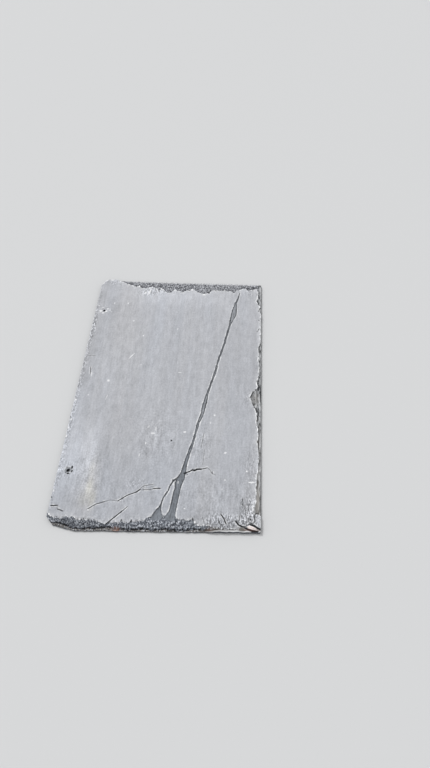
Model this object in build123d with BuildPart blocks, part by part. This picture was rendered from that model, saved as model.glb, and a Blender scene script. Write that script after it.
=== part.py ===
from build123d import *
import os
from math import sqrt

os.makedirs("parts", exist_ok=True)

# One riven slate, dressed to size and nailed once, in millimetres.
# It lies on its bed at z = 0, face up. X runs across it, Y from the tail at the front to the head at
# the back, and the origin is the middle of its bed.

# The blank
width = 305
long_side = 508
thickness = 7
head_fall = 7.5
tail_rise = 6.5

# The head's left corner is broken off and the tail's left corner is worn round
broken_along_side = 17
broken_along_head = 13
broken_bulge = 2.5
worn_along_side = 20
worn_along_tail = 42
worn_corner_across = 10.5
worn_corner_along = 8.5
round_corner = 5

# The two nail holes near the left edge, each with a crater where the punch broke through the face
nail_hole_radius = 2.4
crater_radius = 4.6
crater_angle = 130
nail_hole_in_from_edge = 16.5
head_hole_from_middle = 171
tail_hole_from_middle = 160

# Shell-shaped scars left by dressing, in a row along each edge: how far they reach in over the face,
# the lip they leave at the edge or how deep they are there, and how far apart their middles are
scar_setback = 7
head_reach_least = 9
head_reach_most = 15
head_lip = 3
head_scar_pitch = 12
tail_reach_least = 8
tail_reach_most = 16
tail_lip = 2.6
tail_scar_pitch = 10
right_reach_least = 3.5
right_reach_most = 6.5
right_scar_depth = 2.8
right_scar_pitch = 13
left_reach_least = 1.2
left_reach_most = 2.4
left_scar_depth = 1.6
left_scar_pitch = 24
undressed_head = 42
undressed_tail = 26
scar_wander = 0.5

# The lamina that has come away: one layer of the slate, missing along the head, in two chips on the
# right edge, and in a long sliver that forks before it reaches the tail
lamina = 0.9
head_spall_ramp = 32
head_spall_reach = 27
head_spall_tongue = 34
head_spall_tongue_from_middle = 43
head_spall_tongue_half = 17
head_spall_right = 21
chip_reach = 17.5
chip_head_end = 1
chip_tip = -19
chip_tail_end = -46
notch_reach = 10
notch_head_end = 212
notch_tip = 195
notch_tail_end = 184

sliver_head = Vector(111.5, 219)
sliver_belly = Vector(102.5, 167)
sliver_neck = Vector(77, 45)
sliver_waist = Vector(62.5, -27)
sliver_fork = Vector(37.5, -152)
sliver_belly_width = 10.5
sliver_neck_width = 3.4
sliver_waist_width = 5.6
sliver_fork_width = 6
band_knee = Vector(31, -186)
band_knee_width = 9
band_foot = Vector(22.5, -246)
band_foot_width = 18
branch_root = Vector(33, -163)
branch_root_width = 1.4
branch_knee = Vector(14.5, -193)
branch_knee_width = 1.8
branch_throat = Vector(9, -211)
branch_throat_width = 3
branch_foot = Vector(2, -246)
branch_foot_width = 26

# Three hairline cracks near the tail, and a small pit in the face
crack_width = 0.8
crack_depth = 0.5
right_crack_start = Vector(38, -160)
right_crack_rise = Vector(53.5, -154)
right_crack_crest = Vector(76, -151)
right_crack_end = Vector(81, -159)
left_crack_start = Vector(23, -176)
left_crack_bend = Vector(4.5, -185.5)
left_crack_elbow = Vector(-25, -188.5)
left_crack_drop = Vector(-55, -207)
left_crack_end = Vector(-94.5, -220)
corner_crack_start = Vector(-38, -216)
corner_crack_end = Vector(-65, -243.5)
pit_radius = 1.3
pit_depth = 0.7
pit_across = 14.5
pit_along = -104

# Worked out from the sizes above
half_width = width / 2
half_length = long_side / 2
golden_share = (sqrt(5) - 1) / 2

tail_left = Vector(-half_width, -half_length)
tail_right = Vector(half_width, -half_length + tail_rise)
head_right = Vector(half_width, half_length - head_fall)
head_left = Vector(-half_width, half_length)
head_line = (head_right - head_left).normalized()
tail_line = (tail_right - tail_left).normalized()
up_the_side = Vector(0, 1)
overhang = 1

face = Plane.XY.offset(thickness)


def wander(step):
    """A share between 0 and 1 that jumps about from step to step and never repeats."""
    return step * golden_share % 1


def inward(line_start, line_end):
    """The direction across the face, square to a line that runs anticlockwise round the slate."""
    along = (line_end - line_start).normalized()
    return Vector(-along.Y, along.X)


def dressing_scars(line_start, line_end, reach_least, reach_most, depth, pitch):
    """Balls whose undersides are the scars along one dressed edge, the slate being to its left.

    Each ball meets the face in a circle that reaches the wanted distance in from the edge, and its
    middle is outside the slate, so the scar is deepest at the edge.
    """
    along = (line_end - line_start).normalized()
    across = inward(line_start, line_end)
    length = (line_end - line_start).length
    count = max(1, round(length / pitch))
    balls = []
    for step in range(count):
        reach = reach_least + (reach_most - reach_least) * wander(step)
        circle = reach + scar_setback
        rise = (circle**2 - scar_setback**2 - depth**2) / (2 * depth)
        ball_radius = sqrt(rise**2 + circle**2)
        travel = length * (step + 0.5 + scar_wander * (wander(step * step) - 0.5)) / count
        middle = line_start + along * travel - across * scar_setback
        ball = Sphere(ball_radius, mode=Mode.PRIVATE)
        balls.append(Location((middle.X, middle.Y, thickness + rise), (0, 0, 180)) * ball)
    return balls


def strip(stations):
    """The outline of a strip that runs through its stations, each a place and a width there."""
    left_side = []
    right_side = []
    for step, (place, strip_width) in enumerate(stations):
        before = stations[max(step - 1, 0)][0]
        after = stations[min(step + 1, len(stations) - 1)][0]
        along = (after - before).normalized()
        across = Vector(-along.Y, along.X) * strip_width / 2
        left_side.append(place + across)
        right_side.append(place - across)
    return left_side + right_side[::-1]


with BuildPart() as slate_tile:

    # Blank, with its broken, worn and rounded corners
    with BuildSketch() as blank:
        broken_on_side = head_left - up_the_side * broken_along_side
        broken_on_head = head_left + head_line * broken_along_head
        broken_middle = (broken_on_side + broken_on_head) / 2
        broken_out = (head_left - broken_middle).normalized()
        worn_on_side = tail_left + up_the_side * worn_along_side
        worn_on_tail = tail_left + tail_line * worn_along_tail
        worn_corner = tail_left + Vector(worn_corner_across, worn_corner_along)
        with BuildLine():
            Polyline(worn_on_side, worn_corner, worn_on_tail, tail_right, head_right, broken_on_head)
            ThreePointArc(broken_on_head, broken_middle + broken_out * broken_bulge, broken_on_side)
            Line(broken_on_side, worn_on_side)
        make_face()
        fillet(blank.vertices().sort_by_distance(head_right)[0], radius=round_corner)
    extrude(amount=thickness)

    # Missing lamina along the head, deepest in a tongue right of the middle
    with BuildSketch(face) as head_spall:
        spall_start = head_left + head_line * undressed_head
        spall_full = spall_start + head_line * head_spall_ramp
        tongue_tip = head_left + head_line * (half_width + head_spall_tongue_from_middle)
        tongue_left = tongue_tip - head_line * head_spall_tongue_half
        tongue_right = tongue_tip + head_line * head_spall_tongue_half
        into_face = inward(head_right, head_left)
        with BuildLine():
            Polyline(
                spall_start - into_face * overhang,
                spall_full + into_face * head_spall_reach,
                tongue_left + into_face * head_spall_reach,
                tongue_tip + into_face * head_spall_tongue,
                tongue_right + into_face * head_spall_right,
                head_right + into_face * head_spall_right,
                head_right - into_face * overhang,
                close=True,
            )
        make_face()
    extrude(amount=-lamina, mode=Mode.SUBTRACT)

    # Thin chips out of the right edge
    with BuildSketch(face) as side_chips:
        for reach, head_end, tip, tail_end in (
            (chip_reach, chip_head_end, chip_tip, chip_tail_end),
            (notch_reach, notch_head_end, notch_tip, notch_tail_end),
        ):
            with BuildLine():
                Polyline(
                    (half_width + overhang, head_end),
                    (half_width - reach, tip),
                    (half_width + overhang, tail_end),
                    close=True,
                )
            make_face()
    extrude(amount=-lamina, mode=Mode.SUBTRACT)

    # Sliver of missing lamina, its band down to the tail, and the branch beside it
    with BuildSketch(face) as sliver:
        strips = (
            (
                (sliver_head, crack_width),
                (sliver_belly, sliver_belly_width),
                (sliver_neck, sliver_neck_width),
                (sliver_waist, sliver_waist_width),
                (sliver_fork, sliver_fork_width),
                (band_knee, band_knee_width),
                (band_foot, band_foot_width),
            ),
            (
                (branch_root, branch_root_width),
                (branch_knee, branch_knee_width),
                (branch_throat, branch_throat_width),
                (branch_foot, branch_foot_width),
            ),
        )
        for stations in strips:
            with BuildLine():
                Polyline(*strip(stations), close=True)
            make_face()
    extrude(amount=-lamina, mode=Mode.SUBTRACT)

    # Hairline cracks
    with BuildSketch(face) as cracks:
        with BuildLine():
            Polyline(right_crack_start, right_crack_rise, right_crack_crest, right_crack_end)
        trace(line_width=crack_width)
        with BuildLine():
            Polyline(left_crack_start, left_crack_bend, left_crack_elbow, left_crack_drop, left_crack_end)
        trace(line_width=crack_width)
        with BuildLine():
            Line(corner_crack_start, corner_crack_end)
        trace(line_width=crack_width)
    extrude(amount=-crack_depth, mode=Mode.SUBTRACT)

    # Dressed edges
    scars = dressing_scars(
        tail_left + tail_line * undressed_tail,
        tail_right - tail_line * undressed_tail,
        tail_reach_least,
        tail_reach_most,
        thickness - tail_lip,
        tail_scar_pitch,
    )
    scars += dressing_scars(
        tail_right,
        head_right,
        right_reach_least,
        right_reach_most,
        right_scar_depth,
        right_scar_pitch,
    )
    scars += dressing_scars(
        head_right,
        head_left + head_line * undressed_head,
        head_reach_least,
        head_reach_most,
        thickness - head_lip,
        head_scar_pitch,
    )
    scars += dressing_scars(
        head_left - up_the_side * broken_along_side,
        tail_left + up_the_side * worn_along_side,
        left_reach_least,
        left_reach_most,
        left_scar_depth,
        left_scar_pitch,
    )
    add(scars, mode=Mode.SUBTRACT)

    # Nail holes and the pit
    with Locations(
        (nail_hole_in_from_edge - half_width, head_hole_from_middle, thickness),
        (nail_hole_in_from_edge - half_width, -tail_hole_from_middle, thickness),
    ):
        CounterSinkHole(nail_hole_radius, crater_radius, depth=thickness, counter_sink_angle=crater_angle)
    with Locations((pit_across, pit_along, thickness)):
        Cone(
            0,
            pit_radius,
            pit_depth,
            align=(Align.CENTER, Align.CENTER, Align.MAX),
            mode=Mode.SUBTRACT,
        )

slate_tile.part.label = "slate_tile"
export_step(slate_tile.part, "parts/slate_tile.step")
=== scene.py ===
"""A riven slate tile, weathered pale, with dressed edges, two nail holes and a split sliver.

The tile's frame is X across, Y from the tail (front) to the head (back), Z up out of the face.
Shape work is in millimetres, and meshes are made in metres.
"""
from math import radians

import bpy
import numpy as np
from mathutils import Matrix, Vector


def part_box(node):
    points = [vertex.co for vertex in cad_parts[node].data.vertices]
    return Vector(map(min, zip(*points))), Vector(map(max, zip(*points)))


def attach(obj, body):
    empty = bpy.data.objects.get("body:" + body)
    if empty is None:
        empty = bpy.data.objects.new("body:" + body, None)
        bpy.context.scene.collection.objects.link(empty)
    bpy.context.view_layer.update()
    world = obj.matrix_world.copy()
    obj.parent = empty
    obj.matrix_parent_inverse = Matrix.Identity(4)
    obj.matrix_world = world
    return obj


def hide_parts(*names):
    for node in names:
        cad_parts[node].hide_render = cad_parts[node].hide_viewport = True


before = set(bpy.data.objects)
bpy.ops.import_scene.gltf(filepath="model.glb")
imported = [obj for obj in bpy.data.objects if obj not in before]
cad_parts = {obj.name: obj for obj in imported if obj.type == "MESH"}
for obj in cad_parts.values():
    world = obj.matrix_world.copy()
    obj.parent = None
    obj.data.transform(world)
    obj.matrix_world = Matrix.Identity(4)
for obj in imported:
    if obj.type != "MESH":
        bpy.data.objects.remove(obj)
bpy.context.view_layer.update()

MM = 0.001

# Farther than anything on the slate, and too small to see
FAR = 1000
TINY = 0.001

# The tile as it is cut: its box from the frame, its head and tail out of square
LOW, HIGH = (np.array(corner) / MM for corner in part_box("slate_tile"))
HALF_WIDTH = (HIGH[0] - LOW[0]) / 2
HALF_LENGTH = 254
THICKNESS = HIGH[2] - LOW[2]
HEAD_FALL = 7.5
TAIL_RISE = 6.5

# Corners, each with the place its point has moved to and how far along the side and the end it reaches:
# the head's left one is broken off, the tail's left one is worn, and the two right ones are a bit round
CORNERS = {
    "head_left": ((-147, 248.6), 17, 13),
    "tail_left": ((-142, -245.5), 20, 42),
    "head_right": ((151, 245), 5, 5),
    "tail_right": ((151.7, -246.7), 4, 4),
}
RIM_FADE = 30

# How deep the small bites out of each side are, how wide, how far from its corners they fade, and how deep
# those out of the walls below are
LEFT_BITE = 0.25
RIGHT_BITE = 0.7
HEAD_BITE = 0.8
TAIL_BITE = 1.5
BITE_WIDTH = 5
BITE_FADE = 6
WALL_BITE = 0.45

# Nail holes, the head's first, and the crater that the punch left round each: its radius, the share by
# which that wanders, its depth at the hole, and the power by which it falls
NAIL_HOLES = ((-136, 171), (-136, -160))
HOLE_RADIUS = 2.4
CRATER_RADIUS = 5.2
CRATER_WANDER = 0.5
CRATER_DEPTH = 1.1
CRATER_CURVE = 1.4

# The riven swell of the face and its fine ripple, and the least that it lies below the thickness
FACE_SWELL = 0.16
FACE_RIPPLE = 0.04
FACE_LEAST = 0.02

# Height of the bed's swell and of its steps, how soft a step is in the noise that it follows, what is
# taken off both so that the bed rests on the floor, and how far in from the rim they fade
BED_SWELL = 0.28
BED_STEP = 0.12
BED_STEP_EDGE = 0.06
BED_SUNK = 0.12
BED_FADE = 4

# Wear of the left arris: how far in it reaches, how much that wanders, and the power by which it falls
ARRIS_WEAR = 0.9
ARRIS_WANDER = 0.4
ARRIS_CURVE = 1.5

# Where the face ends and broken layers begin: along the head, the right side and the tail. A point of
# the head or the tail is X and Y, and one of the right side is Y and X.
HEAD_BREAK = (
    (-152.5, 260), (-122.5, 256), (-119.5, 248), (-112, 245.5), (-105.5, 244), (-101.5, 239.5),
    (-92.5, 238), (-87, 235), (-78, 235.5), (-74.5, 231.5), (-70, 230), (-59.5, 232.5), (-51, 233),
    (-44, 227), (-40, 220.5), (-37.5, 224.5), (-33, 227.5), (-29, 224), (-23, 219), (-16.5, 220),
    (-13.5, 225), (-9, 228.5), (-5, 225.5), (5, 219.5), (9.5, 222.5), (21, 228), (26.5, 227),
    (34, 219), (38.5, 220), (43.5, 216), (47.5, 215), (51.5, 219.5), (55.5, 219.5), (62.5, 225.5),
    (77, 226), (84.5, 226), (96, 223.5), (101.5, 219), (103, 224), (118.5, 229.5), (123.5, 231),
    (128, 227), (142.5, 230.5), (146.5, 221), (152.5, 214),
)
RIGHT_BREAK = (
    (-254, 153), (-223, 153), (-220.5, 143), (-207, 143.5), (-201, 146), (-198, 145), (-190, 146.5),
    (-179, 145), (-174, 146.5), (-158, 146.5), (-153.5, 148.5), (-139.5, 149.5), (-124, 149.5),
    (-110, 147.5), (-102, 146), (-97.5, 147.5), (-86.5, 148.5), (-79.5, 148), (-72, 145.5),
    (-49.5, 145.5), (-43, 143.5), (-29, 137.5), (-22.5, 135.5), (-14.5, 135.5), (-7.5, 139),
    (-3.5, 144), (2, 146.5), (14, 145), (21.5, 147.5), (29, 149), (41.5, 149), (59, 147.5),
    (70, 148.5), (79, 148.5), (84.5, 146.5), (90.5, 149.5), (97, 150.5), (120.5, 151.5), (165, 151.5),
    (177.5, 148.5), (184, 150), (190.5, 147), (199, 142.5), (207.5, 146.5), (215, 147), (221, 146.5),
    (254, 145),
)
TAIL_BREAK = (
    (-153.5, -227.5), (-148.5, -233), (-144, -235), (-133, -236.5), (-128.5, -235.5), (-125, -232),
    (-120, -235), (-115, -233.5), (-109, -237), (-100, -238), (-98.5, -236), (-94, -239),
    (-91.5, -236.5), (-89.5, -238.5), (-81, -239.5), (-76, -241), (-66, -243), (-60, -240),
    (-50, -240), (-47.5, -242.5), (-44, -236), (-42, -239), (-34.5, -241.5), (-31.5, -240.5),
    (-30, -235.5), (-28, -238.5), (-18, -236.5), (-11, -235.5), (-9, -232.5), (-1.5, -229),
    (15.5, -229), (32, -230.5), (36.5, -232.5), (54, -233), (57, -230.5), (58, -235), (59.5, -238.5),
    (66, -240.5), (75, -241), (77.5, -239.5), (83.5, -242), (89.5, -244.5), (118, -245),
    (152.5, -245.5),
)

# Where the lowest layer juts out at the tail: how far in from the edge at each X, and how that wanders
TAIL_STEP = (
    (-152.5, 5.5), (-128, 5.2), (-110, 3.4), (-57, 3.2), (-45, 2.6), (60, 2.2), (90, 1.4),
    (152.5, 1.4),
)
STEP_WANDER = 2.4

# Teeth of these lines: how far the coarse and the fine ones reach, and how many times that in each line
COARSE_TEETH = 2.2
FINE_TEETH = 1.6
HEAD_TEETH = 1.7
RIGHT_TEETH = 0.5
TAIL_TEETH = 0.8

# The broken layers of each band: the share of the way to the rim at which each drops, and how far. The
# places wander by a share of their own.
HEAD_LEDGES = ((0.02, 0.6), (0.5, 0.5), (0.64, 0.8), (0.78, 0.9), (0.9, 0.9))
RIGHT_LEDGES = ((0.03, 0.5), (0.3, 0.6), (0.55, 0.8), (0.8, 0.8))
TAIL_LEDGES = (
    (0.03, 0.45), (0.2, 0.5), (0.35, 0.5), (0.48, 0.5),
    (0.6, 0.55), (0.71, 0.55), (0.82, 0.55), (0.92, 0.5),
)
HEAD_WANDER = 0.05
RIGHT_WANDER = 0.12
TAIL_WANDER = 0.13
LEDGE_DROP = 0.05
HEAD_SLOPE = 0.25

# The tail's chips: how large they are, how many times wider than long, how much their depth differs,
# the share of the way to the rim over which that sets in, and the stone left under them all
CHIP_SIZE = 3.2
CHIP_SPREAD = 1.3
CHIP_DEPTH = 0.8
CHIP_FADE = 0.1
TAIL_LEAST_LEFT = 1.6

# The crumbs on all broken stone: how deep, and how far in they reach that depth
CRUMB_DEPTH = 0.12
CRUMB_FADE = 1.5

# X between which the tail's chips turn paler, and the share of their depth that they lose
TAIL_PALE_FROM = 74
TAIL_PALE_TO = 92
TAIL_PALE_RISE = 0.55

# The sliver of missing lamina and its branch: how deep they go, how wide the ramp at their edge is, the
# ripple of their ground, how far their edges wander, and place and width at each station, from the head
LAMINA = 0.8
LAMINA_EDGE = 0.6
LAMINA_RIPPLE = 0.06
SLIVER_WANDER = 0.8
BRANCH_WANDER = 0.6
SLIVER = (
    (112.3, 221, 0.9), (109.8, 207.9, 2.4), (105.3, 192.8, 4), (103.9, 177.7, 7.8),
    (102.7, 164.9, 9.5), (100.3, 155.7, 7.9), (98.3, 149, 6), (96.7, 141.2, 3.4), (93.7, 125, 2.8),
    (91.2, 111.5, 3.7), (88.7, 97.7, 3.6), (85.7, 84.4, 3), (80.4, 61, 3.4), (77.8, 48, 2.6),
    (76.6, 37, 4.2), (74, 24.5, 3.7), (68.3, 1.5, 2.9), (65.8, -9, 3.8), (62.2, -29.5, 6),
    (59, -52, 5.6), (54, -70.5, 3.9), (50.7, -89.6, 3.1), (49.2, -100, 2.9), (45.3, -118.6, 4.6),
    (42.9, -125.7, 4.2), (39.3, -145.5, 5.8), (37.5, -158, 7.5), (35.2, -166, 10.5),
    (31.7, -176.6, 11.5), (31.4, -184, 9.2), (30, -192, 9.8), (28.5, -209.4, 9.3), (27.2, -217.7, 9.8),
    (26.1, -224.3, 11.9), (24.7, -231, 16.2), (23, -240, 20),
)
BRANCH = (
    (31, -165, 1), (27, -169.5, 2.2), (23.1, -174.3, 2.6), (19.6, -181.4, 1.9), (18.3, -188.3, 1.8),
    (15.8, -192.7, 2.6), (12, -199.8, 1.9), (10.3, -206.6, 1.9), (9.3, -212, 2.5), (8.3, -216, 4.6),
    (6.9, -221, 9), (6.3, -225.5, 12.4), (6.1, -229.7, 16), (5, -238, 24),
)

# How far the smooth split stone at the foot of both runs on into the tail's chips, and how far in from
# its edge it does so in full
FOOT_REACH = 5
FOOT_FADE = 2.5

# Spurs of the sliver where its cracks start
SPURS = (
    ((38, -157, 3), (44.5, -162.5, 1)),
    ((27, -171.5, 2.6), (22, -171, 1.2)),
)

# Hairline cracks and thin scratches: half width, how dark, and the points of each
CRACKS = (
    (1, 1, ((38.5, -159.5), (47, -156.5), (50.5, -153.5))),
    (1.3, 1, ((50.5, -153.5), (54, -155), (57, -152.5), (64.5, -152))),
    (0.8, 0.8, ((64.5, -152), (72.5, -149.5))),
    (0.7, 0.4, ((72.5, -149.5), (76.5, -152.5), (80.5, -159.5), (85, -161))),
    (0.8, 0.8, ((-94.5, -221), (-84.5, -213.5), (-72, -209))),
    (0.9, 0.35, ((-72, -209), (-64.5, -206.5), (-52, -207.5))),
    (0.7, 1, ((-53.5, -207.5), (-40, -197.5), (-29, -193))),
    (0.9, 1, ((-29, -193), (-23.5, -188.5))),
    (0.9, 0.6, ((-19, -188.5), (-8, -188))),
    (0.9, 0.9, ((-4, -186), (5.5, -185.5))),
    (0.7, 0.6, ((-22, -185.5), (-19, -182.5), (-6, -179.5))),
    (0.8, 1, ((-65, -243.3), (-44, -222))),
    (0.7, 0.8, ((-44, -222), (-38.3, -216))),
    (0.9, 1, ((-148.5, -217.9), (-140, -217.4))),
    (0.9, 0.8, ((-138, -223), (-131, -225.5))),
    (0.7, 0.5, ((-145, 62.4), (-133.7, 62.6))),
    (0.7, 0.5, ((63.8, -91), (61.2, -115))),
    (0.5, 0.4, ((66.5, -119), (65.5, -144.5))),
    (0.8, 0.7, ((-137, 37), (-135.5, 24))),
    (0.8, 0.7, ((137.5, -28.5), (139.5, -34), (143, -40.5), (146.5, -46.5))),
    (0.8, 0.7, ((149.2, -75.5), (149.2, -99.5), (148, -108.5), (149.5, -126.5), (149.8, -150))),
    (0.8, 0.6, ((151, -194.5), (151.3, -204), (150.5, -216))),
    (1.5, 1, ((136, -236), (143.5, -238.5), (147.5, -241.5), (151.5, -243.5))),
    # This crack, under the pale lens, is partly the painted shadow below the lens
    (1.5, 1, ((130.5, -241.5), (134.5, -244), (141, -245.6), (148, -246.7))),
    (1.1, 1, ((117.5, -233), (121, -237.5), (126, -240), (129.5, -240.5))),
    (0.9, 0.7, ((129.5, -240.5), (133, -238.5), (136.5, -235.5))),
    (0.8, 0.7, ((122.2, -225.5), (122.1, -231))),
    (0.8, 0.8, ((147.4, -219.3), (144.2, -221.2), (142.4, -224), (143.3, -226.9), (144, -231.4))),
    (0.8, 0.7, ((144, -231.4), (141.5, -235.1), (138, -234.5), (135.6, -232.4), (134.8, -228.7))),
    (0.6, 0.6, ((123.8, -200.5), (124, -205.5))),
    (0.8, 0.8, ((126.2, -198.5), (126.6, -207))),
    (2.2, 0.3, ((128.5, -208), (131.5, -216))),
    (0.8, 1, ((96.5, -223.5), (100.5, -229), (103.5, -236))),
    (0.6, 0.5, ((70.5, -229), (72.5, -234.5))),
    (0.6, 0.5, ((131.5, -213), (134, -221.5))),
)

# How far a crack runs out past its ends, how far it counts to each side, how deep it is, and how many of
# its half widths its drop reaches
CRACK_TAPER = 1.5
CRACK_REACH = 4
CRACK_DROP = 0.5
CRACK_LIP = 1.5

# Soft ovals of the face, by what they change: middle, reach across and along, and by how much.
# Level is in the colour's own steps out of 255, and the rest are shares.
PATCHES = {
    "level": (
        (-20, 214, 140, 50, 13), (-56, 208, 30, 22, 4), (-142, 205, 18, 26, -5),
        (-150, 205, 8, 44, -14), (-144, -60, 14, 90, 6), (-105, -243, 60, 12, -16),
        (10, -238, 50, 12, 8), (105, -240, 64, 14, -22), (58, -229, 26, 8, -16),
        (58, -243, 26, 10, 10), (150, 35, 8, 50, -14), (148, 115, 5, 50, 14), (-112, 250, 20, 9, 26),
        (-100, -162, 8, 24, 12), (-120, -209, 12, 20, -9), (142, 240, 18, 13, 14),
        (60, 208, 70, 30, 5), (88, 180, 26, 60, 7), (-120, 175, 22, 44, -8), (-142, 75, 20, 110, -6),
        (-26, 60, 22, 330, 3), (-132, -138, 52, 95, 15), (-108, -120, 20, 90, 14),
        (-140, -110, 18, 90, 5), (-84, -150, 14, 100, -9), (-28, -206, 30, 34, 7),
        (-28, -40, 20, 60, 5), (30, -65, 22, 55, 5), (85, -80, 22, 50, 7), (112, 115, 24, 80, -4),
        (140, 55, 16, 100, -7), (-112, 40, 25, 90, 4), (80, 40, 30, 60, -4), (112, -10, 26, 100, -3),
        (-143.5, 10, 9, 24, -14), (-142, -222, 14, 14, -8), (140, -30, 22, 40, -5),
        (56, -214, 40, 34, -6), (127, -214, 10, 12, -16), (143, -22, 10, 24, 12),
    ),
    "cool": (
        (-26, 60, 28, 330, 0.15), (2, 80, 22, 200, 0.2), (56, 55, 26, 150, -0.3),
        (-84, -60, 26, 120, -0.25), (-84, 120, 42, 190, -0.5), (-30, -190, 110, 110, 0.4),
        (-150, -170, 50, 120, 0.6), (-147, -50, 16, 90, 0.5), (-96, -186, 18, 70, -0.7),
        (-110, -205, 26, 34, -0.2),
    ),
    "cream": (
        (-98.5, -187, 8.5, 26, 0.7), (-100, -155, 8, 22, 0.25), (-91, -206, 8, 26, 0.6),
        (-103, -208, 14, 18, 0.25),
    ),
    "crumbly": (
        (-133, 173, 18, 18, 0.5), (-150, 130, 12, 60, 1), (-138, -160, 24, 26, 0.6),
        (-152, 0, 12, 420, 1.2), (-125, 244, 34, 15, 0.8), (-54, 222, 40, 20, 1.3),
        (-30, 242, 90, 18, 0.8), (-10, 218, 30, 10, 0.4), (132, 218, 18, 20, 0.5),
        (130, -20, 14, 34, 0.5), (60, -112, 28, 60, 0.4), (-30, -178, 26, 14, 0.9),
        (-50, -205, 20, 12, 0.4), (138, -222, 26, 40, 2.1), (138, -150, 20, 70, 0.6),
        (98, -236, 46, 24, 2.1), (-60, -238, 120, 14, 0.4),
    ),
    "streaky": (
        (-10, -100, 50, 70, 1.1), (-105, -165, 40, 70, 1.3), (60, -110, 26, 60, 0.8),
        (80, -200, 90, 60, 0.9), (-60, -200, 100, 60, 0.4),
    ),
    "rust": (
        (-50.5, -250.5, 10, 6.5, 1), (139, -244.5, 14, 3, 0.8), (81, -246, 9, 5, 0.2),
    ),
    "moss": (
        (126, -243.5, 9, 5.5, 2), (88, -247, 30, 6, 0.7),
    ),
    "dust": (
        (149, -203, 10, 40, 1.4), (143, -22, 10, 24, 0.7), (148.5, -125, 7, 90, 0.8),
    ),
    "lens": (
        (137.5, -240.8, 6.5, 2.8, 1), (143.5, -242.7, 7, 2.4, 1), (148.5, -244.6, 5, 1.7, 1),
    ),
}

# How much lighter the head is than the middle, and the middle than the tail
LEVEL_SLOPE = 4

# White flecks and scuffs on the face, and painted highlights along the rims and round the head's broken left
# corner:
# place, half length, half width, turn from +X, strength
FLECKS_AND_RIM_HIGHLIGHTS = (
    (-102, 9.3, 2.2, 2.6, 0, 0.9), (3.8, 127, 1.2, 1.8, 0, 0.7), (-119.5, 189.5, 1.4, 2, 0, 0.7),
    (-94, 190, 1.6, 1.8, 30, 0.9), (-78, 145.5, 1.8, 1.6, 40, 0.7), (-56, 110, 1.4, 1.8, 0, 0.9),
    (78.7, -55.5, 1.5, 1.9, 0, 0.9), (34, -88, 2.6, 1.6, 0, 0.9), (16, 29, 3.4, 1, 0, 0.6),
    (-25, -110, 2.6, 1.1, 80, 0.8), (-32, -131, 3.4, 0.9, 75, 0.7), (98.3, -123.5, 2.3, 2, 0, 0.8),
    (96, -184, 1.3, 1, 0, 0.5), (44, -216, 1.3, 1.1, 0, 0.8), (131.3, -153.7, 1.4, 1.7, 0, 1),
    (99.8, -169.2, 1.7, 1.8, 0, 0.5), (-24, -80, 3, 1.6, 60, 0.45), (-15.5, -92, 4, 1.8, 0, 0.7),
    (-12, -83, 1.2, 4.5, 0, 0.5), (82.5, -156.6, 1, 2, 0, 0.5), (73, -70, 1.4, 2.2, 0, 0.5),
    (-130.7, -20.7, 1.2, 1.8, 0, 0.6), (-132.8, 21.5, 1, 6, 0, 0.6), (-99.5, -24.7, 1.2, 6, -10, 0.4),
    (-70.5, 63, 8, 0.9, 56, 1), (138.4, -171.6, 5.6, 1.5, 2, 1), (-52, 44, 1.8, 1, 60, 0.45),
    (-141.8, 169, 3.2, 2.6, 0, 1), (-132.5, 168.5, 3, 2.6, 0, 1), (-137.2, 164.3, 2.8, 1.8, 0, 0.9),
    (-129.7, 174.8, 1.8, 1.8, 0, 0.9), (-139.5, 177.7, 2.4, 1.6, 0, 0.6), (-149.2, 242, 4, 1.3, 62, 1),
    (-144.2, 248.6, 4, 1.3, 40, 1), (-133, 251.2, 5, 1.4, -3, 1), (-125.4, 171.6, 1.4, 1.8, 0, 0.7),
    (-122.7, 167.6, 1.4, 1.4, 0, 0.5), (-147.7, 183, 1.7, 1.7, 0, 0.6), (140.8, -212, 0.9, 6, 0, 0.9),
    (150.9, -100, 0.8, 17, 0, 0.7), (150.9, -147, 0.8, 7.5, 0, 0.7), (149.2, -20.5, 0.8, 11.5, 0, 0.8),
    (143.8, -35, 2.2, 4.5, 0, 0.45), (150.3, 231, 1, 9, 0, 0.6), (144, 243.5, 5, 1.6, -10, 0.5),
    (-149.9, -85.4, 1.2, 2, 0, 0.7), (-150.2, -194.4, 1.2, 2.4, 0, 0.8),
    (31, -174.6, 0.8, 2.6, 0, 0.7), (60, -236, 1.3, 1.7, 0, 1), (-149, -231, 1.3, 2, 40, 1),
    (-57.5, 220.5, 1.7, 9, -12, 1), (-65, 217.5, 1.8, 3.4, -20, 1), (-36, 229, 1.8, 2.6, 0, 1),
    (146.5, 129, 1.2, 3.2, -25, 0.9), (148.5, 176.5, 1, 4, -30, 0.9), (-149.5, -31, 1.3, 2.4, 0, 1),
    (-149, -70, 1.2, 2.2, 0, 0.9), (-151, -100.5, 1.3, 2.6, 0, 1), (-94, -222.5, 1.3, 1.2, 0, 1),
)
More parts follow.
